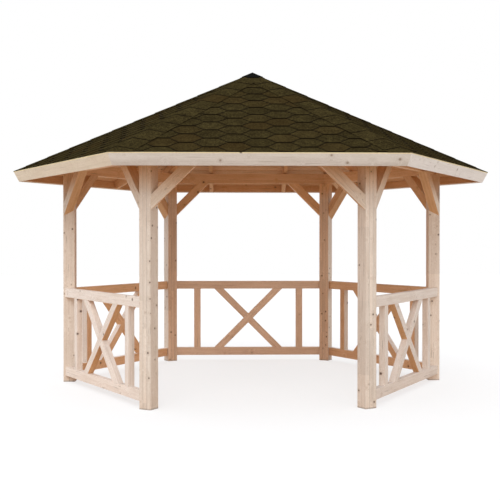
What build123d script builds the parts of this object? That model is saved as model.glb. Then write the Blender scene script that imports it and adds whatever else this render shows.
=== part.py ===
"""Hexagonal timber garden gazebo, in millimetres, +Z up, origin on the ground at its centre.

Six posts stand square to the centre and carry a mitred ring of beams. Two knee braces stiffen
each bay, and every bay but the entrance has a railing with a half-lapped cross. Hip rafters
run from the posts to a king block, jack rafters fill each slope, and boards, shingles, hip
caps, an apex cap and mitred fascias close the roof.

Each part of a bay is drawn in the front bay, whose outward side faces -Y, and is turned about
Z into the others.
"""
import os
from math import atan, cos, degrees, radians, sin, tan

from build123d import *

# ---- Plan -------------------------------------------------------------------------------
SIDES = 6
POST_CIRCLE = 1920        # centre of the gazebo to the centre of a post
OVERHANG = 510            # post line to the edge of the shingles, level

# ---- Posts and ring beams ---------------------------------------------------------------
POST = 120                # square glued post
CLEAR_HEIGHT = 2182       # ground to the underside of the beams, and the height of a post
BEAM_T = 60
BEAM_H = 120

# ---- Knee braces ------------------------------------------------------------------------
BRACE_W = 95              # width of a brace, seen from outside
BRACE_T = 90
BRACE_DROP = 442          # underside of the beam down to the toe of the brace
BRACE_OUT = 76            # post line to the outer face of the braces
BRACE_ANGLE = 45

# ---- Railings ---------------------------------------------------------------------------
RAIL_H = 95
RAIL_T = 60
RAIL_OUT = 64             # post line to the outer face of the railing
RAIL_TOP = 980            # ground to the top of the handrail
RAIL_LOW = 65             # ground to the underside of the bottom rail
BALUSTER_W = 80
BALUSTER_X = 630          # middle of the bay to the centre line of a baluster
CROSS_W = 80              # width of a diagonal of the cross
CROSS_SPREAD = 725        # between the centre lines of the diagonals, along either rail
JOINT_GAP = 0.2           # assembly clearance between the members of one railing

# ---- Roof frame -------------------------------------------------------------------------
PITCH = 25.6              # slope of the roof, degrees
RAFTER_W = 48
RAFTER_D = 95
RAFTER_X = 460            # middle of the bay to the centre line of a jack rafter
RAFTER_SEAT = 12          # level seat of a jack rafter's birdsmouth on the beam
HIP_W = 60
HIP_SEAT = 12             # level seat of a hip rafter on the mitre of the beams, along the hip
KING_ACROSS = 120         # king block, across its flats
KING_DROP = 40            # king block below the hip rafters where they meet it

# ---- Roof covering ----------------------------------------------------------------------
BOARD_T = 18
SHINGLE_T = 9             # underlay and lapped courses together, out over the fascia
FASCIA_T = 24
FASCIA_H = 110
HIP_CAP_T = 5
HIP_CAP_W = 342           # width of a hip cap, level across the hip
HIP_CAP_GAP = 0.5         # between neighbouring hip caps where they close up near the apex
HIP_CAP_START = 56        # centre to the upper end of a hip cap, under the apex cap
APEX_CAP_T = 8
APEX_CAP_R = 112          # centre to a corner of the apex cap

# ---- Worked out from the above ----------------------------------------------------------
HALF_TURN = 180 / SIDES                       # half of the angle that one bay takes up
COS_H, SIN_H, TAN_H = (f(radians(HALF_TURN)) for f in (cos, sin, tan))
APOTHEM = POST_CIRCLE * COS_H                 # centre to the post line of a bay
BAY_HALF = POST_CIRCLE * SIN_H                # middle of a bay to the centre of its post
BEAM_TOP = CLEAR_HEIGHT + BEAM_H
INFILL_LOW = RAIL_LOW + RAIL_H + JOINT_GAP    # foot of the balusters and the cross
INFILL_TOP = RAIL_TOP - RAIL_H - JOINT_GAP    # their head, under the handrail
RISE = tan(radians(PITCH))                    # rise of a slope for each unit of run
LEAN = cos(radians(PITCH))
HIP_RISE = RISE * COS_H                       # the same along a hip
COVER = SHINGLE_T + BOARD_T                   # from the face of the shingles to the rafters
EAVE = APOTHEM + OVERHANG                     # centre to the eave of a slope

# The underside of the rafters meets the top of the beam where their seat ends.
SEAT_END = APOTHEM + BEAM_T / 2 - RAFTER_SEAT
APEX = BEAM_TOP + SEAT_END * RISE + (COVER + RAFTER_D) / LEAN     # tip of the shingle faces
HIP_TIP = APEX - COVER / LEAN                                     # where the hips' tops meet

# The underside of a hip meets the top of the beams where its own seat ends on their mitre.
HIP_SEAT_END = (APOTHEM + BEAM_T / 2) / COS_H - HIP_SEAT
HIP_DEPTH = HIP_TIP - HIP_SEAT_END * HIP_RISE - BEAM_TOP          # measured straight down
REACH = 2 * EAVE                              # longer than anything in the roof

BAYS = ["front", "front_right", "back_right", "back", "back_left", "front_left"]
POSTS = ["front_right", "right", "back_right", "back_left", "left", "front_left"]


def turned(shape, bay):
    """The shape, carried from the front bay round to another one."""
    return Rot(0, 0, 2 * HALF_TURN * bay) * shape


def both_hands(shape):
    """The shape and its mirror image in the middle of the bay."""
    return [shape, mirror(shape, about=Plane.YZ)]


def plan_prism(points, bottom, top):
    """A plan outline (x, y) drawn up from one level to another."""
    return Pos(0, 0, bottom) * extrude(Polygon(*points, align=None), top - bottom, dir=(0, 0, 1))


def bay_slab(points, outer, thickness):
    """An elevation outline (x, z) with its outer face so far outside the post line."""
    slab = extrude(Plane.XZ * Polygon(*points, align=None), thickness, dir=(0, -1, 0))
    return Pos(0, thickness - APOTHEM - outer, 0) * slab


def sector(setback=0):
    """The wedge of space over the front bay, its sides moved in from the hips by setback."""
    tip = -setback / SIN_H
    return plan_prism([(0, tip), (-REACH * TAN_H, tip - REACH), (REACH * TAN_H, tip - REACH)],
                      0, REACH)


def post_face(outer):
    """Middle of the bay to the side of the post, so far outside the post line."""
    return BAY_HALF - (POST / 2 - outer * SIN_H) / COS_H


def between_posts():
    """The space of the front bay from the side of one post to the side of the other."""
    near, far = -POST, POST
    corners = [(-post_face(far), -APOTHEM - far), (post_face(far), -APOTHEM - far),
               (post_face(near), -APOTHEM - near), (-post_face(near), -APOTHEM - near)]
    return plan_prism(corners, 0, CLEAR_HEIGHT)


def roof_point(along, depth):
    """(y, z) on the front slope: so far up from the eave, so deep below the shingle faces."""
    top = (-EAVE, APEX - EAVE * RISE)
    up, down = (LEAN, LEAN * RISE), (LEAN * RISE, -LEAN)
    return (top[0] + along * up[0] + depth * down[0], top[1] + along * up[1] + depth * down[1])


def slope_slab(start, end, top, bottom):
    """A full-width slab of the front slope, between two depths and two distances from the eave."""
    corners = [roof_point(start, top), roof_point(end, top),
               roof_point(end, bottom), roof_point(start, bottom)]
    return extrude(Plane.YZ * Polygon(*corners, align=None), REACH, both=True)


def roof_pyramid(depth):
    """Everything below the six slopes, so deep below the shingle faces."""
    tip = APEX - depth / LEAN
    base = RegularPolygon(REACH, SIDES)
    return loft([Pos(0, 0, tip - REACH * HIP_RISE) * base, Vertex(0, 0, tip)])


def within_eave(setback=0):
    """The space so far inside the outer faces of the fascias, which lean in as they go down."""
    rings = [roof_point(setback, depth) for depth in (2 * FASCIA_H, -REACH)]
    hexagons = [Pos(0, 0, z) * RegularPolygon(-y / COS_H, SIDES) for y, z in rings]
    return loft(hexagons)


# ---- Posts, beams and braces ------------------------------------------------------------
def post():
    """The post at the right-hand end of the front bay, one face square to the centre."""
    shaft = Pos(POST_CIRCLE, 0, CLEAR_HEIGHT / 2) * Box(POST, POST, CLEAR_HEIGHT)
    return Rot(0, 0, HALF_TURN - 90) * shaft


def beam():
    """The front beam, mitred over the posts."""
    outer, inner = APOTHEM + BEAM_T / 2, APOTHEM - BEAM_T / 2
    corners = [(-outer * TAN_H, -outer), (outer * TAN_H, -outer),
               (inner * TAN_H, -inner), (-inner * TAN_H, -inner)]
    return plan_prism(corners, CLEAR_HEIGHT, BEAM_TOP)


def knee_braces():
    """Both braces of the front bay: heels cut to the posts, heads cut level under the beam."""
    slant = radians(BRACE_ANGLE)
    toe = (post_face(BRACE_OUT), CLEAR_HEIGHT - BRACE_DROP)
    head = toe[0] - BRACE_DROP / tan(slant)
    head_cut = BRACE_W / sin(slant)
    heel_cut = BRACE_W / cos(slant)
    tail = POST                                # spare length, cut off by the side of the post
    outline = [(toe[0] + tail, toe[1] - tail * tan(slant)), (head, CLEAR_HEIGHT),
               (head + head_cut, CLEAR_HEIGHT),
               (toe[0] + tail, toe[1] - tail * tan(slant) + heel_cut)]
    return both_hands(bay_slab(outline, BRACE_OUT, BRACE_T) & between_posts())


# ---- Railings ---------------------------------------------------------------------------
def rail(bottom):
    """A rail from post to post."""
    outline = [(-BAY_HALF, bottom), (BAY_HALF, bottom),
               (BAY_HALF, bottom + RAIL_H), (-BAY_HALF, bottom + RAIL_H)]
    return bay_slab(outline, RAIL_OUT, RAIL_T) & between_posts()


def cross():
    """Two diagonals between the rails, each halved into the other where they cross."""
    middle = (INFILL_LOW + INFILL_TOP) / 2
    slant = atan((INFILL_TOP - INFILL_LOW) / CROSS_SPREAD)
    half_cut = CROSS_W / sin(slant) / 2        # half of the level cut at either end
    foot, head = CROSS_SPREAD / 2, -CROSS_SPREAD / 2
    outline = [(foot - half_cut, INFILL_LOW), (foot + half_cut, INFILL_LOW),
               (head + half_cut, INFILL_TOP), (head - half_cut, INFILL_TOP)]
    inner_full = bay_slab(outline, RAIL_OUT, RAIL_T)
    outer_full = mirror(inner_full, about=Plane.YZ)

    # Each notch is half as deep as the member and as wide as the other one, plus clearance.
    lap = RAIL_T / 2 + JOINT_GAP / 2
    notch_w = CROSS_W + 2 * JOINT_GAP
    notch_l = 2 * notch_w                      # longer than the member is wide on the slant
    lean = degrees(slant)
    outer_notch = (Pos(0, lap / 2 - APOTHEM - RAIL_OUT, middle)
                   * Rot(0, -lean, 0) * Box(notch_l, lap, notch_w))
    inner_notch = (Pos(0, RAIL_T - lap / 2 - APOTHEM - RAIL_OUT, middle)
                   * Rot(0, lean, 0) * Box(notch_l, lap, notch_w))
    return [inner_full - outer_notch, outer_full - inner_notch]


def railing():
    """Handrail, bottom rail, two balusters and the cross between them."""
    left, right = BALUSTER_X - BALUSTER_W / 2, BALUSTER_X + BALUSTER_W / 2
    outline = [(left, INFILL_LOW), (right, INFILL_LOW), (right, INFILL_TOP), (left, INFILL_TOP)]
    baluster = bay_slab(outline, RAIL_OUT, RAIL_T)
    return [rail(RAIL_TOP - RAIL_H), rail(RAIL_LOW), *both_hands(baluster), *cross()]


# ---- Roof frame -------------------------------------------------------------------------
def king_block():
    """The hexagonal block that the hip rafters meet, its head cut to the six slopes."""
    corner = KING_ACROSS / 2 / COS_H
    foot = HIP_TIP - KING_ACROSS / 2 * HIP_RISE - HIP_DEPTH - KING_DROP
    block = Pos(0, 0, foot) * extrude(RegularPolygon(corner, SIDES, rotation=HALF_TURN), REACH)
    return block & roof_pyramid(COVER)


def hip_rafters():
    """Six hip rafters: backed to both slopes, seated over the beams' mitres, tails bevelled."""
    inner, outer = KING_ACROSS / 2, EAVE / COS_H
    top = [HIP_TIP - r * HIP_RISE for r in (inner, outer)]
    outline = [(inner, top[0] - HIP_DEPTH), (outer, top[1] - HIP_DEPTH),
               (outer, top[1] + HIP_DEPTH), (inner, top[0] + HIP_DEPTH)]
    blank = extrude(Plane.XZ * Polygon(*outline, align=None), HIP_W / 2, both=True)
    blank = blank & roof_pyramid(COVER) & within_eave(FASCIA_T)
    first = Rot(0, 0, HALF_TURN - 90) * blank
    seated = first - beam() - turned(beam(), 1)
    return [turned(seated, bay) for bay in range(SIDES)]


def jack_rafters():
    """Two jack rafters of the front bay: birdsmouth on the beam, cheek cut to the hip."""
    blank = slope_slab(0, REACH, COVER, COVER + RAFTER_D)
    strip = Pos(RAFTER_X, -REACH / 2, REACH / 2) * Box(RAFTER_W, REACH, REACH)
    jack = blank & strip & within_eave(FASCIA_T) & sector(HIP_W / 2)
    return both_hands(jack - beam())


# ---- Roof covering ----------------------------------------------------------------------
def fascia():
    """The front fascia: under the shingles' edge, square to the slope, mitred at both ends."""
    return slope_slab(0, FASCIA_T, SHINGLE_T, SHINGLE_T + FASCIA_H) & sector()


def roof_boards():
    """The boarding of the front slope, inside the fascia."""
    return slope_slab(FASCIA_T, REACH, SHINGLE_T, COVER) & sector()


def shingles():
    """The shingle layer of the front slope, from the outer face of the fascia to the apex."""
    return slope_slab(0, REACH, 0, SHINGLE_T) & sector()


def hip_caps():
    """Folded strips over the six hips, closing up under the apex cap."""
    layer = roof_pyramid(-HIP_CAP_T) - roof_pyramid(0)
    strip = Pos(REACH / 2 + HIP_CAP_START, 0, REACH / 2) * Box(REACH, HIP_CAP_W, REACH)
    first = Rot(0, 0, HALF_TURN - 90) * (layer & strip & within_eave())
    over_hip = Rot(0, 0, HALF_TURN) * sector(HIP_CAP_GAP / 2)
    return [turned(first & over_hip, bay) for bay in range(SIDES)]


def apex_cap():
    """The small six-sided cap over the ends of the hip caps."""
    cap = roof_pyramid(-HIP_CAP_T - APEX_CAP_T) - roof_pyramid(-HIP_CAP_T)
    return cap & extrude(RegularPolygon(APEX_CAP_R, SIDES), REACH)


def save(name, *shapes):
    """Write the solids of one node."""
    solids = [solid for shape in shapes for solid in shape.solids()]
    whole = solids[0] if len(solids) == 1 else Compound(solids)
    export_step(whole, f"parts/{name}.step")


os.makedirs("parts", exist_ok=True)
for bay, (bay_name, post_name) in enumerate(zip(BAYS, POSTS)):
    save(f"post_{post_name}", turned(post(), bay))
    save(f"beam_{bay_name}", turned(beam(), bay))
    save(f"knee_braces_{bay_name}", *(turned(brace, bay) for brace in knee_braces()))
    if bay_name != "front":
        save(f"railing_{bay_name}", *(turned(member, bay) for member in railing()))
    save(f"fascia_{bay_name}", turned(fascia(), bay))
    save(f"roof_boards_{bay_name}", turned(roof_boards(), bay))
    save(f"shingles_{bay_name}", turned(shingles(), bay))
save("jack_rafters", *(turned(jack, bay) for bay in range(SIDES) for jack in jack_rafters()))
save("hip_rafters", *hip_rafters())
save("king_block", king_block())
save("hip_caps", *hip_caps())
save("apex_cap", apex_cap())
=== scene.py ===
"""Looks of the hexagonal timber garden gazebo, in metres, in the frame of its construction model.

Every timber piece is a copy of its construction piece with eased edges and a grain that runs
along the member. The six slopes are laid with boards, hexagonal bitumen shingles and folded
hip caps, all drawn once on the front slope and turned into the other bays.
"""
import random
from math import atan2, ceil, cos, pi, radians, sin, tan

import bmesh
import bpy
from mathutils import Matrix, Vector


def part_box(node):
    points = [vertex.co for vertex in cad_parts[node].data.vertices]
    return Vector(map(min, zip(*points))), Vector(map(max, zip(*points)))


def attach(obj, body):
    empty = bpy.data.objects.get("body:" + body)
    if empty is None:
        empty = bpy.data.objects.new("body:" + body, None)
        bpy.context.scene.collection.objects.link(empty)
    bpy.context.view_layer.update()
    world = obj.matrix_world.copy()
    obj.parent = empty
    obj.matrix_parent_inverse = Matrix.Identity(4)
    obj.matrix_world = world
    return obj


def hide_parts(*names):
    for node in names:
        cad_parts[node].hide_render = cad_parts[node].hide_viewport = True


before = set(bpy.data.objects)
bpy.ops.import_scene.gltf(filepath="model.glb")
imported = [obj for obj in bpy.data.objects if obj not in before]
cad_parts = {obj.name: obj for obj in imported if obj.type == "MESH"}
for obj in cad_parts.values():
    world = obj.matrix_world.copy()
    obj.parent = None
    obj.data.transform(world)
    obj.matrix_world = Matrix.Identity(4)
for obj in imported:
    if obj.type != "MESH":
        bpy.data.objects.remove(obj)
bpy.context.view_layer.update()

scene = bpy.context.scene

BAYS = ["front", "front_right", "back_right", "back", "back_left", "front_left"]
POSTS = ["front_right", "right", "back_right", "back_left", "left", "front_left"]
SIDES = len(BAYS)
MM = 0.001

# ---- Sizes ------------------------------------------------------------------------------
EASED = 2.5 * MM              # rounded edge of a planed timber
POST_EASED = 4 * MM
FASCIA_EASED = 1.5 * MM

BOARD_COVER = 96 * MM         # one roof board, from joint to joint
BOARD_JOINT = 1 * MM
BOARD_CHAMFER = 5 * MM        # the V joint on the underside
LATH_T = 3 * MM               # edging on the fascia that ends the felt
LATH_DROP = 1.5 * MM          # top of the lath below the face of the construction slope

TAB_PITCH = 416 * MM          # from one shingle tab to the next in a course
TAB_FLAT = 124 * MM           # level lower edge of a tab
TAB_SLANT = 84 * MM           # slanting edge of a tab, measured level
COURSE = 109.5 * MM           # exposed height of a course
FIRST_COURSE = 21 * MM        # lower edge of the first course, up the slope from the eave
STARTERS = 2                  # courses under the first one, cut off at the eave
TAB_T = 3.6 * MM
TAB_LAP = 10 * MM             # part of a tab that runs on below the course two above it
TAB_PROUD = 2 * MM            # lower edge of a tab above the face of the construction slope
TAB_SLIT = 0.6 * MM           # between neighbouring tabs
TAB_SHADOW_BAND = 7 * MM              # painted shadow: dark band along the lower edges of a tab and of a hip cap
UNDERLAY_T = 1 * MM

HIP_CAP_HALF = 175 * MM       # hip to the side of a cap, along the slope
HIP_CAP_SHOWN = 243 * MM      # exposed length of a cap, along the hip
HIP_CAP_LENGTH = 333 * MM
FIRST_HIP_CAP = -0.4 * HIP_CAP_SHOWN    # foot of the first cap, up the hip; the eave cuts it
HIP_CAP_T = 3.6 * MM
APEX_CAP_DEEP = 165 * MM      # apex to the front edge of its felt, measured level
APEX_CAP_FRONT = 65 * MM      # half the length of that edge
APEX_CAP_T = 4 * MM

KNOT_SPACING = 115 * MM       # between places where a branch may have grown
POST_KNOT_SPACING = 82 * MM   # the same in the posts, whose wood is knottier
RING = 5 * MM                 # one annual ring, drawn twice as wide as it grows
DARKEST, PALEST = 0.88, 1.05  # level of the darkest and of the palest timber
LAMELLA = 40 * MM             # one layer of a glued post
LAYER_REACH = 1.02 * LAMELLA  # keeps the sides of a post within its outer layers
GLUE_LINE = 1.4 * MM          # half the width of a glue line, drawn wider than it is
FINGER_JOINTS = 650 * MM      # from one finger joint of a layer to the next
SUNLIT_TO = 1.88              # height up to which posts and braces are painted as sunlit
EAVE_SHADE = 2.12             # height from which the eave's shadow is painted on them in full
FOOT_SHADOW = 16 * MM           # height of the contact shadow painted at the foot of a post
GRIT = 7 * MM                 # one cluster of slate granules, which are about 1.5 mm

# ---- Worked out from the construction model ---------------------------------------------
APEX_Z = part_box("shingles_front")[1].z             # where the faces of the shingles would meet
EAVE = -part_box("shingles_front")[0].y              # centre to the edge of the shingles
DECK_APEX_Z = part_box("roof_boards_front")[1].z     # where the tops of the boards would meet
DECK_EAVE = -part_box("fascia_front")[0].y           # centre to the top outer edge of a fascia
DECK_EAVE_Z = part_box("shingles_front")[0].z
PITCH = atan2(DECK_APEX_Z - DECK_EAVE_Z, DECK_EAVE)
EAVE_Z = APEX_Z - EAVE * tan(PITCH)
SLOPE = EAVE / cos(PITCH)                          # eave to apex, along the slope
HALF_TURN = pi / SIDES
SHINGLE_T = (APEX_Z - DECK_APEX_Z) * cos(PITCH)
FASCIA_T = (DECK_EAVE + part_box("roof_boards_front")[0].y) / cos(PITCH)
BOARD_DROP = DECK_EAVE_Z + FASCIA_T * sin(PITCH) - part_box("roof_boards_front")[0].z
BOARD_T = BOARD_DROP / cos(PITCH)
HIP_FOOT = EAVE * tan(HALF_TURN)                   # middle of the eave to the foot of a hip
HIP_SKEW = atan2(HIP_FOOT, SLOPE)                  # between a hip and the fall line of the slope
HIP_LENGTH = SLOPE / cos(HIP_SKEW)

# Slope coordinates of the front bay: level along the eave, up the slope, and out of it.
ON_SLOPE = (Matrix.Translation((0, -EAVE, EAVE_Z)) @ Matrix.Rotation(PITCH, 4, "X"))


def turned(bay):
    """The turn that carries the front bay round to another one."""
    return Matrix.Rotation(2 * HALF_TURN * bay, 4, "Z")


# ---- Materials --------------------------------------------------------------------------
def linear(code):
    """An sRGB hex colour as linear red, green, blue and alpha."""
    parts = [int(code[i:i + 2], 16) / 255 for i in (1, 3, 5)]
    return [c / 12.92 if c <= 0.04045 else ((c + 0.055) / 1.055) ** 2.4 for c in parts] + [1]


def add(tree, kind, inputs=None, **settings):
    """Add a node with its settings, and its inputs as values or as other nodes' outputs."""
    made = tree.nodes.new("ShaderNode" + kind)
    for name, value in settings.items():
        setattr(made, name, value)
    for name, value in (inputs or {}).items():
        if isinstance(value, bpy.types.NodeSocket):
            tree.links.new(value, made.inputs[name])
        else:
            made.inputs[name].default_value = value
    return made


def blank_material(name):
    """A new material with its node tree and its shader."""
    material = bpy.data.materials.new(name)
    material.use_nodes = True
    tree = material.node_tree
    return material, tree, tree.nodes["Principled BSDF"]


def levelled(tree, colour, level):
    """A colour made darker or paler by a level."""
    grey = add(tree, "CombineColor", {0: level, 1: level, 2: level}).outputs[0]
    return add(tree, "Mix", {0: 1, 6: colour, 7: grey}, data_type="RGBA",
               blend_type="MULTIPLY").outputs[2]


def above_ground(tree):
    """Height above the ground."""
    where = add(tree, "TexCoord").outputs["Object"]
    return add(tree, "SeparateXYZ", {0: where}).outputs["Z"]


def knots(tree, wood, spacing, knotty):
    """The knots, the darker wood round them, and the wood bent by them.

    A knot is a ball of brown wood that shows where it is cut, up to a fifth of the spacing
    across. Only the given share of the places has one. The figure swells round a knot over
    about a hand's width and is a little darker there.
    """
    branch = add(tree, "TexVoronoi", {"Vector": wood, "Scale": 1 / spacing}).outputs
    chance = add(tree, "SeparateColor", {0: branch["Color"]}).outputs[0]
    missing = add(tree, "Math", {0: chance, 1: knotty}, operation="GREATER_THAN").outputs[0]
    away = add(tree, "Math", {0: branch["Distance"], 1: missing}, operation="MAXIMUM").outputs[0]
    core = add(tree, "MapRange", {"Value": away, "From Min": 0.13, "From Max": 0.07,
                                  "To Max": 0.85}).outputs[0]
    halo = add(tree, "MapRange", {"Value": away, "From Min": 0.30, "From Max": 0.10,
                                  "To Max": 0.5}, interpolation_type="SMOOTHSTEP").outputs[0]
    swell = add(tree, "MapRange", {"Value": away, "From Min": 0.55, "From Max": 0,
                                   "To Max": 30 * MM}, interpolation_type="SMOOTHSTEP").outputs[0]
    swelling = add(tree, "CombineXYZ", {1: swell, 2: swell}).outputs[0]
    bent = add(tree, "VectorMath", {0: wood, 1: swelling}, operation="ADD").outputs[0]
    return core, halo, bent


def latewood(tree, bent):
    """The figure of the wood: streaks of latewood over annual rings.

    The streaks are about 18 mm wide and 0.6 m long; single rings, 2 to 3 mm wide, are too
    fine to show at this size.
    """
    long_way = add(tree, "Mapping", {"Vector": bent, "Scale": (1.6, 55, 55)}).outputs[0]
    streak = add(tree, "TexNoise", {"Vector": long_way, "Scale": 1, "Detail": 3,
                                    "Roughness": 0.6}).outputs["Fac"]
    heart = add(tree, "Mapping", {"Vector": bent, "Scale": (0.12, 1, 1)}).outputs[0]
    rings = add(tree, "TexWave", {"Vector": heart, "Scale": 2 * pi / (20 * RING), "Distortion": 3.5,
                                  "Detail": 2, "Detail Scale": 6},
                wave_type="RINGS", rings_direction="X", wave_profile="SAW").outputs["Fac"]
    return add(tree, "Mix", {0: 0.35, 2: streak, 3: rings}).outputs[0]


def glued_layers(tree, grain, tone):
    """The level of a glued post: a tone for each finger-jointed length, and dark glue lines.

    The middle layer has a joint on either side; the outer ones end at the post's sides.
    """
    parts = add(tree, "SeparateXYZ", {0: grain}).outputs
    layer = add(tree, "Math", {0: parts["Y"], 1: LAYER_REACH}, operation="DIVIDE").outputs[0]
    layer = add(tree, "Math", {0: layer}, operation="ROUND").outputs[0]

    # Finger joints are staggered from layer to layer and from post to post.
    length = add(tree, "Math", {0: parts["X"], 1: FINGER_JOINTS}, operation="DIVIDE").outputs[0]
    length = add(tree, "Math", {0: length, 1: tone}, operation="ADD").outputs[0]
    shift = add(tree, "Math", {0: layer, 1: 0.37}, operation="MULTIPLY").outputs[0]
    length = add(tree, "Math", {0: length, 1: shift}, operation="ADD").outputs[0]
    block = add(tree, "Math", {0: length}, operation="FLOOR").outputs[0]
    which = add(tree, "CombineXYZ", {0: block, 1: layer, 2: tone}).outputs[0]
    chance = add(tree, "TexWhiteNoise", {"Vector": which}).outputs["Value"]
    level = add(tree, "MapRange", {"Value": chance, "To Min": DARKEST, "To Max": PALEST}).outputs[0]

    off = add(tree, "Math", {0: parts["Y"]}, operation="ABSOLUTE").outputs[0]
    off = add(tree, "Math", {0: off, 1: LAMELLA / 2}, operation="SUBTRACT").outputs[0]
    off = add(tree, "Math", {0: off}, operation="ABSOLUTE").outputs[0]
    line = add(tree, "MapRange", {"Value": off, "From Min": GLUE_LINE, "From Max": GLUE_LINE / 2,
                                  "To Min": 1, "To Max": 0.5}).outputs[0]
    return add(tree, "Math", {0: level, 1: line}, operation="MULTIPLY").outputs[0]


def planed_spruce(name, pale, warm, knot="#3A2416", knotty=0.4, spacing=KNOT_SPACING,
                  glued=False, under_eave=False):
    """Planed spruce, unfinished: pale earlywood, warmer latewood and dark brown knots.

    The grain follows the member through its own coordinates: along it, then across it. Glued
    timber shows lamellas of 40 mm, each of its own tone, with thin dark glue lines. Faces in
    the roof's shade get painted shade: a darker honey colour instead of the pale one.
    """
    material, tree, shader = blank_material(name)
    grain = add(tree, "Attribute", attribute_name="grain").outputs["Vector"]
    tone = add(tree, "Attribute", attribute_name="tone").outputs["Fac"]

    # Every member is cut from another place in the wood.
    place = add(tree, "VectorMath", {0: (31, 17, 23)}, operation="SCALE")
    tree.links.new(tone, place.inputs["Scale"])
    wood = add(tree, "VectorMath", {0: grain, 1: place.outputs[0]}, operation="ADD").outputs[0]
    core, halo, bent = knots(tree, wood, spacing, knotty)
    figure = latewood(tree, bent)

    # Drying checks: dark hairlines a hand's length along the grain, drawn 4 mm wide to show.
    check_way = add(tree, "Mapping", {"Vector": bent, "Scale": (3, 130, 130)}).outputs[0]
    check = add(tree, "TexNoise", {"Vector": check_way, "Scale": 1, "Detail": 1}).outputs["Fac"]
    check = add(tree, "MapRange", {"Value": check, "From Min": 0.68, "From Max": 0.75,
                                   "To Max": 0.4}).outputs[0]

    # Paler and warmer stretches a hand's width across, as the light falls on curly grain.
    stretch = add(tree, "Mapping", {"Vector": wood, "Scale": (5, 12, 12)}).outputs[0]
    patch = add(tree, "TexNoise", {"Vector": stretch, "Scale": 1, "Detail": 2}).outputs["Fac"]
    sharper = add(tree, "MapRange", {"Value": figure, "From Min": 0.38, "From Max": 0.64}).outputs[0]
    mixed = add(tree, "Mix", {0: 0.45, 2: sharper, 3: patch}).outputs[0]

    # Painted shade: where the roof shades the wood, the pale colours are mixed towards the darker
    # honey ones.
    painted_shade = add(tree, "Attribute", attribute_name="painted_shade").outputs["Fac"]
    # Painted shadow of the eaves: the tops of posts and braces turn towards the honey colours from
    # SUNLIT_TO up to EAVE_SHADE.
    if under_eave:
        eave = add(tree, "MapRange", {"Value": above_ground(tree), "From Min": SUNLIT_TO,
                                      "From Max": EAVE_SHADE}).outputs[0]
        painted_shade = add(tree, "Math", {0: painted_shade, 1: eave}, operation="MAXIMUM").outputs[0]
    light = add(tree, "Mix", {0: painted_shade, 6: linear(pale), 7: linear(HONEY_SHADE[0])},
                data_type="RGBA").outputs[2]
    deep = add(tree, "Mix", {0: painted_shade, 6: linear(warm), 7: linear(HONEY_SHADE[1])},
               data_type="RGBA").outputs[2]
    colour = add(tree, "Mix", {0: mixed, 6: light, 7: deep}, data_type="RGBA").outputs[2]
    colour = add(tree, "Mix", {0: halo, 6: colour, 7: deep}, data_type="RGBA").outputs[2]
    dark = add(tree, "Math", {0: core, 1: check}, operation="MAXIMUM").outputs[0]
    colour = add(tree, "Mix", {0: dark, 6: colour, 7: linear(knot)}, data_type="RGBA").outputs[2]

    # Darker and paler members; a contact shadow is painted at the foot of a post.
    level = add(tree, "MapRange", {"Value": tone, "To Min": DARKEST, "To Max": PALEST}).outputs[0]
    if glued:
        foot_shadow = add(tree, "MapRange", {"Value": above_ground(tree), "From Max": FOOT_SHADOW,
                                      "To Min": 0.45}).outputs[0]
        for part in (glued_layers(tree, grain, tone), foot_shadow):
            level = add(tree, "Math", {0: level, 1: part}, operation="MULTIPLY").outputs[0]
    tree.links.new(levelled(tree, colour, level), shader.inputs["Base Color"])

    # Planing leaves the harder latewood slightly proud and a little glossier.
    rough = add(tree, "MapRange", {"Value": figure, "To Min": 0.72, "To Max": 0.55}).outputs[0]
    tree.links.new(rough, shader.inputs["Roughness"])
    shader.inputs["Specular IOR Level"].default_value = 0.3
    bump = add(tree, "Bump", {"Height": figure, "Strength": 0.25, "Distance": 0.3 * MM})
    tree.links.new(bump.outputs[0], shader.inputs["Normal"])
    return material


def mineral_felt(name, dark, mid, pale, russet):
    """Bitumen felt with crushed slate pressed into it: matt, speckled, dark olive brown.

    The granules are drawn in clusters, so that the speckle shows. One tab in four is russet,
    the more so the higher its tone.
    """
    material, tree, shader = blank_material(name)
    where = add(tree, "TexCoord").outputs["Object"]
    tone = add(tree, "Attribute", attribute_name="tone").outputs["Fac"]
    speck = add(tree, "TexVoronoi", {"Vector": where, "Scale": 1 / GRIT}).outputs["Color"]
    grit = add(tree, "SeparateColor", {0: speck}).outputs[0]
    patch = add(tree, "TexNoise", {"Vector": where, "Scale": 9, "Detail": 4}).outputs["Fac"]
    mixed = add(tree, "Mix", {0: 0.45, 2: grit, 3: patch}).outputs[0]
    slate = add(tree, "ValToRGB", {"Fac": mixed})
    ramp = slate.color_ramp
    ramp.elements[0].position, ramp.elements[0].color = 0.15, linear(dark)
    ramp.elements[1].position, ramp.elements[1].color = 0.85, linear(pale)
    ramp.elements.new(0.5).color = linear(mid)
    redder = add(tree, "MapRange", {"Value": tone, "From Min": 0.75, "To Max": 0.32}).outputs[0]
    colour = add(tree, "Mix", {0: redder, 6: slate.outputs["Color"], 7: linear(russet)},
                 data_type="RGBA").outputs[2]

    # Neighbouring tabs come from different batches of grit.
    batch = add(tree, "TexWhiteNoise", {"W": tone}, noise_dimensions="1D").outputs["Value"]
    level = add(tree, "MapRange", {"Value": batch, "To Min": 0.88, "To Max": 1.15}).outputs[0]
    tree.links.new(levelled(tree, colour, level), shader.inputs["Base Color"])
    shader.inputs["Roughness"].default_value = 1
    shader.inputs["Specular IOR Level"].default_value = 0
    bump = add(tree, "Bump", {"Height": grit, "Strength": 0.5, "Distance": 1 * MM})
    tree.links.new(bump.outputs[0], shader.inputs["Normal"])
    return material


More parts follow.
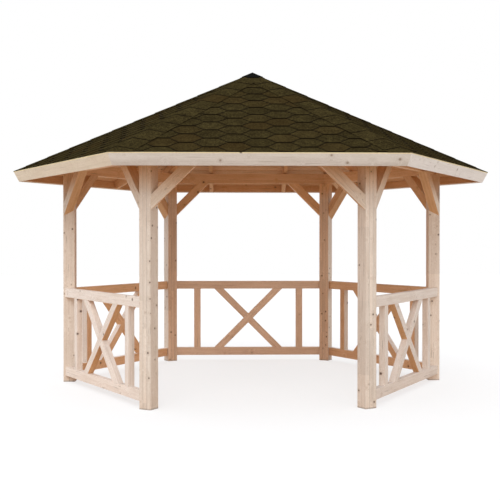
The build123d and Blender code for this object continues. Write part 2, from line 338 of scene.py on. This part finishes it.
def cut_felt(name, colour):
    """The cut edge and smooth back of bitumen felt: black, matt."""
    material, tree, shader = blank_material(name)
    where = add(tree, "TexCoord").outputs["Object"]
    wear = add(tree, "TexNoise", {"Vector": where, "Scale": 60, "Detail": 3}).outputs["Fac"]
    shade = add(tree, "Mix", {0: wear, 6: linear(colour[0]), 7: linear(colour[1])},
                data_type="RGBA").outputs[2]
    tree.links.new(shade, shader.inputs["Base Color"])
    shader.inputs["Roughness"].default_value = 0.9
    shader.inputs["Specular IOR Level"].default_value = 0.02
    return material


HONEY_SHADE = ("#F0C89F", "#CA9864")          # honey spruce, pale and warm: painted shade under the roof; the frame and roof boards take it throughout, partly as their own colour, partly as painted warm shade
POST_WOOD = planed_spruce("glued_spruce", "#F1E8DD", "#CDBAA7", knotty=1.0,
                          spacing=POST_KNOT_SPACING, glued=True, under_eave=True)
FRAME_WOOD = planed_spruce("frame_spruce", *HONEY_SHADE)
BRACE_WOOD = planed_spruce("brace_spruce", "#F0E5D7", "#C8B49E", under_eave=True)
RAIL_WOOD = planed_spruce("railing_spruce", "#F8F0E8", "#D0BEAD", knotty=0.25)
BOARD_WOOD = planed_spruce("roof_board_spruce", *HONEY_SHADE)
# Pale yellow: a painted highlight along the top edge of the fascias.
LATH_HIGHLIGHT_WOOD = planed_spruce("lath_spruce_painted_highlight", "#FBF0C8", "#EBD9A8")
# The fascias have light and shade painted into their colour, bay by bay: greyer and darker at the
# front and back, creamy on the left, almost white on the right.
SHADE_PAINTED_FASCIA = planed_spruce("greyed_fascia_spruce", "#E0DBD4", "#BEB5AB", knot="#8F7D6D")
MIDTONE_PAINTED_FASCIA = planed_spruce("creamy_fascia_spruce", "#F3E7D3", "#D2C1A8", knot="#8F7D6D")
LIGHT_PAINTED_FASCIA = planed_spruce("bleached_fascia_spruce", "#F8F5F1", "#DAD3CC", knot="#8F7D6D")
FASCIA_WOOD = {"front": SHADE_PAINTED_FASCIA, "back": SHADE_PAINTED_FASCIA, "front_left": MIDTONE_PAINTED_FASCIA,
               "back_left": MIDTONE_PAINTED_FASCIA, "front_right": LIGHT_PAINTED_FASCIA, "back_right": LIGHT_PAINTED_FASCIA}
FELT = mineral_felt("slate_grit_bitumen_felt", "#1A150D", "#322B18", "#4C4428", "#3D2C15")
# Black felt for cut edges and backs, also laid on the lower rims of tabs and caps as painted shadow.
FELT_EDGE_AND_SHADOW = cut_felt("cut_felt_and_tab_shadow", ("#120D05", "#211A0C"))
CAP_FELT = cut_felt("smooth_bitumen_felt", ("#070706", "#11110F"))

# Places in the list of a piece's materials.
BOARD, LATH = 0, 1
GRITTED, BARE_AND_SHADOW = 0, 1


# ---- Meshes -----------------------------------------------------------------------------
def islands(bm):
    """The separate members of a mesh, each as a list of its vertices, in order."""
    found, seen = [], set()
    for start in bm.verts:
        if start in seen:
            continue
        member, queue = [], [start]
        seen.add(start)
        while queue:
            vert = queue.pop()
            member.append(vert)
            for edge in vert.link_edges:
                other = edge.other_vert(vert)
                if other not in seen:
                    seen.add(other)
                    queue.append(other)
        found.append(member)
    return found


def member_axes(member):
    """Unit directions of a member: along it, square to its widest side, and across both.

    A post has four equal sides: its layers are square to the centre of the gazebo.
    """
    edges = sorted({edge for vert in member for edge in vert.link_edges}, key=lambda e: e.index)
    faces = sorted({face for vert in member for face in vert.link_faces}, key=lambda f: f.index)
    longest = max(edges, key=lambda edge: round(edge.calc_length(), 4))
    along = (longest.verts[1].co - longest.verts[0].co).normalized()
    centre = sum((vert.co for vert in member), Vector()) / len(member)
    outward = Vector((centre.x, centre.y, 0)).normalized()
    side = max((face for face in faces if abs(face.normal.dot(along)) < 0.01),
               key=lambda face: (round(face.calc_area(), 4), -round(abs(face.normal.dot(outward)), 2)))
    across = side.normal.copy()
    return along, across, along.cross(across)


def ease_edges(bm, width):
    """Round the long edges of every member."""
    chosen = []
    for member in islands(bm):
        along = member_axes(member)[0]
        for edge in {edge for vert in member for edge in vert.link_edges}:
            line = edge.verts[1].co - edge.verts[0].co
            lengthwise = abs(line.normalized().dot(along)) > 0.999
            if lengthwise and edge.calc_face_angle_signed(0) > radians(20):
                chosen.append(edge)
    chosen.sort(key=lambda edge: edge.index)
    bmesh.ops.bevel(bm, geom=chosen, offset=width, offset_type="OFFSET", affect="EDGES",
                    segments=2, profile=0.5, material=-1, clamp_overlap=True)


def lay_grain(bm, seed, low=0.0, high=1.0):
    """Give every member its own wood coordinates and its own tone."""
    grain = bm.verts.layers.float_vector.new("grain")
    tone = bm.verts.layers.float.new("tone")
    bm.edges.index_update()
    bm.faces.index_update()
    chance = random.Random(seed)
    for member in islands(bm):
        axes = member_axes(member)
        centre = sum((vert.co for vert in member), Vector()) / len(member)
        member_tone = chance.uniform(low, high)
        for vert in member:
            vert[grain] = [(vert.co - centre).dot(axis) for axis in axes]
            vert[tone] = member_tone


def share(value, none, full):
    """0 up to one value, 1 from another, and in proportion between them."""
    return min(max((value - none) / (full - none), 0), 1)


def mark_painted_shade(bm, inner_shade, shade_undersides):
    """Mark how much painted shade each face gets, from 0 where it is open to the light to 1.

    Faces that look into the gazebo get as much as given, and undersides may get it in full.
    """
    painted_shade = bm.faces.layers.float.new("painted_shade")
    for face in bm.faces:
        centre = face.calc_center_median()
        inward = -face.normal.dot(Vector((centre.x, centre.y, 0)).normalized())
        inner = inner_shade * share(inward, 0.3, 0.7)
        lower = share(-face.normal.z, 0.2, 0.7) if shade_undersides else 0
        face[painted_shade] = max(inner, lower)


def piece(name, bm, materials, slot, *nodes):
    """Make a mesh a piece of the gazebo that stands for its construction nodes."""
    mesh = bpy.data.meshes.new(name)
    bm.to_mesh(mesh)
    bm.free()
    for material in materials:
        mesh.materials.append(material)
    made = bpy.data.objects.new(name, mesh)
    scene.collection.objects.link(made)
    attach(made, "root")
    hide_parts(*nodes)


def timber(node, material, slot, eased=EASED, inner_shade=1.0, shade_undersides=True, tones=(0.0, 1.0)):
    """A timber piece: the construction piece with eased edges and grain along its members.

    Its members get tones between the two given, from 0, the darkest, to 1, the palest.
    """
    bm = bmesh.new()
    bm.from_mesh(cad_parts[node].data)
    bmesh.ops.remove_doubles(bm, verts=bm.verts, dist=0.02 * MM)
    bmesh.ops.dissolve_limit(bm, angle_limit=radians(0.5), verts=bm.verts, edges=bm.edges)
    bm.normal_update()
    bm.edges.index_update()
    bm.faces.index_update()
    ease_edges(bm, eased)
    bm.normal_update()
    lay_grain(bm, node, *tones)
    # Painted shade: faces that look into the gazebo or face down are marked for the honey colours.
    mark_painted_shade(bm, inner_shade, shade_undersides)
    piece(node + "_timber", bm, [material], slot, node)


def cut(bm, point, outward, material_index=None):
    """Cut away what lies outside a plane, and close the cut if it is given a material."""
    geometry = bm.verts[:] + bm.edges[:] + bm.faces[:]
    made = bmesh.ops.bisect_plane(bm, geom=geometry, dist=0.001 * MM, plane_co=point,
                                  plane_no=outward, clear_outer=True)
    if material_index is not None:
        rim = [part for part in made["geom_cut"] if isinstance(part, bmesh.types.BMEdge)]
        for face in bmesh.ops.holes_fill(bm, edges=rim, sides=0)["faces"]:
            face.material_index = material_index


def slab(points, top, bottom, tilt=0.0):
    """A flat piece on the front slope: its outline (level, up the slope) between two heights.

    It leans down up the slope by tilt, which is a rise for each unit of run.
    """
    bm = bmesh.new()
    verts = [bm.verts.new((x, up, bottom)) for x, up in points]
    face = bm.faces.new(verts)
    risen = bmesh.ops.extrude_face_region(bm, geom=[face])["geom"]
    raised = [part for part in risen if isinstance(part, bmesh.types.BMVert)]
    bmesh.ops.translate(bm, verts=raised, vec=(0, 0, top - bottom))
    lowest = min(up for x, up in points)
    for vert in bm.verts:
        vert.co.z -= tilt * (vert.co.y - lowest)
    bmesh.ops.recalc_face_normals(bm, faces=bm.faces)
    return bm


def gather(parts):
    """Join several meshes, made one by one, into one."""
    whole = bmesh.new()
    for part in parts:
        mesh = bpy.data.meshes.new("part")
        part.to_mesh(mesh)
        part.free()
        whole.from_mesh(mesh)
        bpy.data.meshes.remove(mesh)
    return whole


def past_hip(side):
    """Level direction square to a hip of the front slope, on its left (-1) or right (1)."""
    return Vector((side * cos(HALF_TURN), sin(HALF_TURN), 0))


def fit_between_hips(bm, setback, material_index):
    """Bring a mesh from slope coordinates onto the front slope and cut it at the two hips."""
    bmesh.ops.transform(bm, matrix=ON_SLOPE, verts=bm.verts)
    for side in (-1, 1):
        cut(bm, -setback * past_hip(side), past_hip(side), material_index)
    bm.normal_update()


# ---- Roof boards ------------------------------------------------------------------------
def roof_boards():
    """The boards of the front slope, level, with a V joint on the underside.

    A thin lath on the fascia ends the felt; its pale yellow wood is a painted highlight along the top
    of the fascia.
    """
    lath = [(-HIP_FOOT, 0), (HIP_FOOT, 0), (HIP_FOOT, LATH_T), (-HIP_FOOT, LATH_T)]
    boards = [slab(lath, -LATH_DROP, -SHINGLE_T)]
    for face in boards[0].faces:
        face.material_index = LATH
    for row in range(ceil((SLOPE - FASCIA_T) / BOARD_COVER)):
        low = FASCIA_T + row * BOARD_COVER
        high = min(low + BOARD_COVER, SLOPE) - BOARD_JOINT
        outline = [(-HIP_FOOT, low), (HIP_FOOT, low), (HIP_FOOT, high), (-HIP_FOOT, high)]
        board = slab(outline, -SHINGLE_T, -SHINGLE_T - BOARD_T)
        long_under = [edge for edge in board.edges
                      if all(vert.co.z < -SHINGLE_T - BOARD_T / 2 for vert in edge.verts)
                      and abs(edge.verts[0].co.y - edge.verts[1].co.y) < MM]
        bmesh.ops.bevel(board, geom=long_under, offset=BOARD_CHAMFER, offset_type="OFFSET",
                        affect="EDGES", segments=1, profile=0.5, material=-1)
        boards.append(board)
    whole = gather(boards)
    fit_between_hips(whole, 0, BOARD)
    return whole


# ---- Shingles ---------------------------------------------------------------------------
def grit_on_top(felt):
    """Grit on the upward faces of a mesh, bare felt on the others."""
    for face in felt.faces:
        face.material_index = GRITTED if face.normal.z > 0.5 else BARE_AND_SHADOW


def paint_tab_shadow(felt, up_to):
    """Paint a shadow: black felt on a narrow rim of a gritted face, along the edges whose middle lies
    lower than up_to.
    """
    gritted = [face for face in felt.faces if face.material_index == GRITTED]
    rim = bmesh.ops.inset_individual(felt, faces=gritted, thickness=TAB_SHADOW_BAND, use_even_offset=True)
    for face in rim["faces"]:
        if face.calc_center_median().y < up_to:
            face.material_index = BARE_AND_SHADOW


def give_tone(bm, own):
    """One tone for the whole mesh."""
    layer = bm.verts.layers.float.new("tone")
    for vert in bm.verts:
        vert[layer] = own


def shingle_tab(middle, low):
    """One hexagonal tab, its lower edge raised by the courses under it."""
    flat, wide, half = TAB_FLAT / 2, TAB_FLAT / 2 + TAB_SLANT, (TAB_PITCH - TAB_SLIT) / 2
    high = low + COURSE
    end = low + 2 * COURSE + TAB_LAP
    outline = [(-flat, low), (flat, low), (wide, high), (half, high),
               (half, end), (-half, end), (-half, high), (-wide, high)]
    tab = slab([(middle + x, up) for x, up in outline], TAB_PROUD, TAB_PROUD - TAB_T,
               tilt=TAB_T / COURSE)
    grit_on_top(tab)
    paint_tab_shadow(tab, high)
    return tab


def shingles(bay):
    """The underlay and all the courses of one slope, every other one moved by half a tab.

    They end at the lath and at the hips.
    """
    underlay = slab([(-HIP_FOOT, 0), (HIP_FOOT, 0), (0, SLOPE)], UNDERLAY_T - SHINGLE_T,
                    -SHINGLE_T)
    grit_on_top(underlay)
    give_tone(underlay, 0)
    tabs = [underlay]
    chance = random.Random(bay)
    for course in range(-STARTERS, ceil((SLOPE - FIRST_COURSE) / COURSE)):
        low = FIRST_COURSE + course * COURSE
        half_width = (SLOPE - max(low, 0)) * tan(HIP_SKEW)
        shift = 0.5 if course % 2 == 0 else 0
        reach = ceil(half_width / TAB_PITCH) + 1
        for column in range(-reach, reach + 1):
            middle = (column + shift) * TAB_PITCH
            if abs(middle) - TAB_PITCH / 2 > half_width:
                continue
            tab = shingle_tab(middle, low)
            give_tone(tab, chance.random())
            tabs.append(tab)
    whole = gather(tabs)
    cut(whole, (0, LATH_T + TAB_SLIT, 0), (0, -1, 0), BARE_AND_SHADOW)
    fit_between_hips(whole, TAB_SLIT, BARE_AND_SHADOW)
    return whole


# ---- Hip caps and apex cap --------------------------------------------------------------
def hip_cap(low):
    """A folded cap on the right-hand hip of the front slope, its foot so far up the hip."""
    cap = slab([(-HIP_CAP_HALF, 0), (HIP_CAP_T, 0),
                (HIP_CAP_T, HIP_CAP_LENGTH), (-HIP_CAP_HALF, HIP_CAP_LENGTH)],
               TAB_PROUD + HIP_CAP_T, TAB_PROUD, tilt=HIP_CAP_T / HIP_CAP_SHOWN)
    grit_on_top(cap)
    paint_tab_shadow(cap, TAB_SHADOW_BAND)
    along_hip = (Matrix.Translation((HIP_FOOT, 0, 0)) @ Matrix.Rotation(HIP_SKEW, 4, "Z")
                 @ Matrix.Translation((0, low, 0)))
    bmesh.ops.transform(cap, matrix=ON_SLOPE @ along_hip, verts=cap.verts)

    # The fold lies in the upright plane of the hip, and the other wing mirrors this one.
    cut(cap, (0, 0, 0), past_hip(1))
    bmesh.ops.mirror(cap, geom=cap.verts[:] + cap.edges[:] + cap.faces[:], axis="X",
                     matrix=Matrix.Rotation(-HALF_TURN, 4, "Z"), merge_dist=0.01 * MM)
    bmesh.ops.remove_doubles(cap, verts=cap.verts, dist=0.01 * MM)
    bmesh.ops.recalc_face_normals(cap, faces=cap.faces)
    return cap


def hip_caps():
    """Overlapping folded caps on all six hips, up to the apex cap."""
    chance = random.Random("caps")
    caps = []
    for step in range(ceil((HIP_LENGTH - FIRST_HIP_CAP) / HIP_CAP_SHOWN)):
        cap = hip_cap(FIRST_HIP_CAP + step * HIP_CAP_SHOWN)
        give_tone(cap, chance.random())
        caps.append(cap)
    one_hip = gather(caps)

    # They end at the eaves of both slopes.
    for bay in (0, 1):
        eave = turned(bay) @ ON_SLOPE
        cut(one_hip, eave.translation, eave.to_3x3() @ Vector((0, -1, 0)), BARE_AND_SHADOW)

    # Near the apex they keep to their own side of the middle of either slope.
    for outward in (Vector((-1, 0, 0)), turned(1).to_3x3() @ Vector((1, 0, 0))):
        cut(one_hip, -TAB_SLIT / 2 * outward, outward, BARE_AND_SHADOW)

    hips = []
    for bay in range(SIDES):
        hip = one_hip.copy()
        bmesh.ops.transform(hip, matrix=turned(bay), verts=hip.verts)
        hips.append(hip)
    one_hip.free()
    whole = gather(hips)
    whole.normal_update()
    return whole


def apex_cap():
    """A long hexagon of felt, folded down over the apex on all six slopes.

    It is cut from a wider skin in the form of the roof, laid on the uppermost hip caps.
    """
    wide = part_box("apex_cap")[1].x
    reach = 2 * APEX_CAP_DEEP
    rise = reach * cos(HALF_TURN) * tan(PITCH)
    cap = bmesh.new()
    bmesh.ops.create_cone(cap, segments=SIDES, radius1=reach, radius2=0, depth=rise)
    bmesh.ops.remove_doubles(cap, verts=cap.verts, dist=0.01 * MM)
    bmesh.ops.rotate(cap, verts=cap.verts, matrix=Matrix.Rotation(HALF_TURN, 3, "Z"))
    top = APEX_Z + (TAB_PROUD + HIP_CAP_T + APEX_CAP_T) / cos(PITCH)
    bmesh.ops.translate(cap, verts=cap.verts, vec=(0, 0, top - rise / 2))
    for ahead in (-1, 1):
        cut(cap, (0, ahead * APEX_CAP_DEEP, 0), (0, ahead, 0))
        for side in (-1, 1):
            outward = (side * APEX_CAP_DEEP, ahead * (wide - APEX_CAP_FRONT), 0)
            cut(cap, (side * wide, 0, 0), outward)
    cap.normal_update()
    bmesh.ops.solidify(cap, geom=cap.faces[:], thickness=APEX_CAP_T)
    bmesh.ops.recalc_face_normals(cap, faces=cap.faces)
    return cap


# ---- Pieces -----------------------------------------------------------------------------
# Painted shade on the inner faces: a part of it on the posts and most railings, nearly all of it
# on the two slanted railings at the back.
for name in POSTS:
    timber(f"post_{name}", POST_WOOD, "post_timber", eased=POST_EASED, inner_shade=0.4,
           tones=(0.35, 0.55) if "front" in name else (0.6, 1))
for bay, name in enumerate(BAYS):
    timber(f"beam_{name}", FRAME_WOOD, "frame_timber")
    timber(f"knee_braces_{name}", BRACE_WOOD, "brace_timber")
    if name != "front":
        timber(f"railing_{name}", RAIL_WOOD, "railing_timber",
               inner_shade=0.9 if name in ("back_left", "back_right") else 0.4,
               tones=(0, 0.35) if name == "front_right" else (0.5, 1))
    timber(f"fascia_{name}", FASCIA_WOOD[name], "fascia_timber", eased=FASCIA_EASED,
           shade_undersides=False, tones=(0.6, 0.7))
    boards = roof_boards()
    bmesh.ops.transform(boards, matrix=turned(bay), verts=boards.verts)
    lay_grain(boards, f"boards {name}")
    piece(f"roof_boards_{name}_laid", boards, [BOARD_WOOD, LATH_HIGHLIGHT_WOOD], "roof_boards",
          f"roof_boards_{name}")
    tabs = shingles(bay)
    bmesh.ops.transform(tabs, matrix=turned(bay), verts=tabs.verts)
    piece(f"shingles_{name}_laid", tabs, [FELT, FELT_EDGE_AND_SHADOW], "bitumen_shingles",
          f"shingles_{name}")
for name in ("jack_rafters", "hip_rafters", "king_block"):
    timber(name, FRAME_WOOD, "frame_timber")
piece("hip_caps_laid", hip_caps(), [FELT, FELT_EDGE_AND_SHADOW], "bitumen_shingles", "hip_caps")
piece("apex_cap_felt", apex_cap(), [CAP_FELT], "apex_cap", "apex_cap")


# ---- Floor, light and camera ------------------------------------------------------------
FLOOR_SIZE = 60               # metres
TIMBER_GLOW = (1.6, 2.4)      # metres from the centre over which the floor's warm light fades
LAMP_SPREAD = radians(30)     # width of a lamp as seen from the gazebo
LENS = 66.8                   # mm
SENSOR = 36                   # mm, its width
CAMERA_PLACE = (-0.301, -9.810, 1.464)
CAMERA_DOWN = 0.0088          # radians below the horizon
CAMERA_RIGHT = 0.0281         # radians to the right of straight ahead


def seen_directly(tree):
    """1 where the camera, a reflection or glass looks at the material, and 0 for its light."""
    path = add(tree, "LightPath").outputs
    seen = add(tree, "Math", {0: path["Is Camera Ray"], 1: path["Is Glossy Ray"]},
               operation="MAXIMUM").outputs[0]
    return add(tree, "Math", {0: seen, 1: path["Is Transmission Ray"]},
               operation="MAXIMUM").outputs[0]


# The floor is white to the camera, with the gazebo's shadow, and gives back a duller, warmer
# light, most of all between the posts.
bpy.ops.mesh.primitive_plane_add(size=FLOOR_SIZE)
ground = bpy.context.object
ground.name = "floor"
material, tree, shader = blank_material("pale_floor")
where = add(tree, "TexCoord").outputs["Object"]
out = add(tree, "VectorMath", {0: where}, operation="LENGTH").outputs["Value"]
outside = add(tree, "MapRange", {"Value": out, "From Min": TIMBER_GLOW[0],
                                 "From Max": TIMBER_GLOW[1]}).outputs[0]
bounce = add(tree, "Mix", {0: outside, 6: linear("#CDA478"), 7: linear("#BCB0A4")},
             data_type="RGBA").outputs[2]
tree.links.new(bounce, shader.inputs["Base Color"])
shader.inputs["Roughness"].default_value = 0.9
shader.inputs["Specular IOR Level"].default_value = 0
white = add(tree, "BsdfDiffuse", {"Color": (0.95, 0.95, 0.95, 1)})
glow = add(tree, "Emission", {"Color": (1, 1, 1, 1), "Strength": 1})
white_floor = add(tree, "MixShader", {0: 0.7, 1: white.outputs[0], 2: glow.outputs[0]}).outputs[0]
mixed = add(tree, "MixShader", {0: seen_directly(tree), 1: shader.outputs[0], 2: white_floor})
tree.links.new(mixed.outputs[0], tree.nodes["Material Output"].inputs["Surface"])
ground.data.materials.append(material)

# The studio is bright at the sides, behind and overhead, with a warm, dimmer wall in front, and
# brighter on the left than on the right. It is seen as plain white.
world = bpy.data.worlds.new("studio")
scene.world = world
world.use_nodes = True
tree = world.node_tree
direction = add(tree, "TexCoord").outputs["Generated"]
way = add(tree, "SeparateXYZ", {0: direction}).outputs
front = add(tree, "MapRange", {"Value": way["Y"], "From Min": -0.3, "From Max": -0.9}).outputs[0]
low = add(tree, "MapRange", {"Value": way["Z"], "From Min": 0.6, "From Max": 0.15}).outputs[0]
wall = add(tree, "Math", {0: front, 1: low}, operation="MULTIPLY").outputs[0]
tint = add(tree, "Mix", {0: wall, 6: linear("#F8FAFF"), 7: linear("#B08A66")},
           data_type="RGBA").outputs[2]
strength = add(tree, "MapRange", {"Value": way["X"], "From Min": -0.3, "From Max": 0.7,
                                  "To Min": 1.38, "To Max": 0.8}).outputs[0]
light = add(tree, "Background", {"Color": tint, "Strength": strength}).outputs[0]
backdrop = add(tree, "Background", {"Color": (1, 1, 1, 1), "Strength": 1}).outputs[0]
mixed = add(tree, "MixShader", {0: seen_directly(tree), 1: light, 2: backdrop})
tree.links.new(mixed.outputs[0], tree.nodes["World Output"].inputs["Surface"])
tree.nodes.remove(tree.nodes["Background"])


def soft_sun(name, left, high, energy, colour):
    """A soft lamp, so far to the left of the front and so high, in degrees."""
    lamp = bpy.data.lights.new(name, "SUN")
    lamp.energy = energy
    lamp.angle = LAMP_SPREAD
    lamp.color = linear(colour)[:3]
    stand = bpy.data.objects.new(name, lamp)
    stand.rotation_euler = (pi / 2 - radians(high), 0, -radians(left))
    scene.collection.objects.link(stand)


soft_sun("key", 14, 40, 0.8, "#FAFDFF")
soft_sun("fill", -28, 12, 0.7, "#FFF9F4")

camera = bpy.data.cameras.new("camera")
camera.lens = LENS
camera.sensor_width = SENSOR
camera_stand = bpy.data.objects.new("camera", camera)
camera_stand.location = CAMERA_PLACE
camera_stand.rotation_euler = (pi / 2 - CAMERA_DOWN, 0, -CAMERA_RIGHT)
scene.collection.objects.link(camera_stand)
scene.camera = camera_stand
scene.view_settings.view_transform = "Standard"
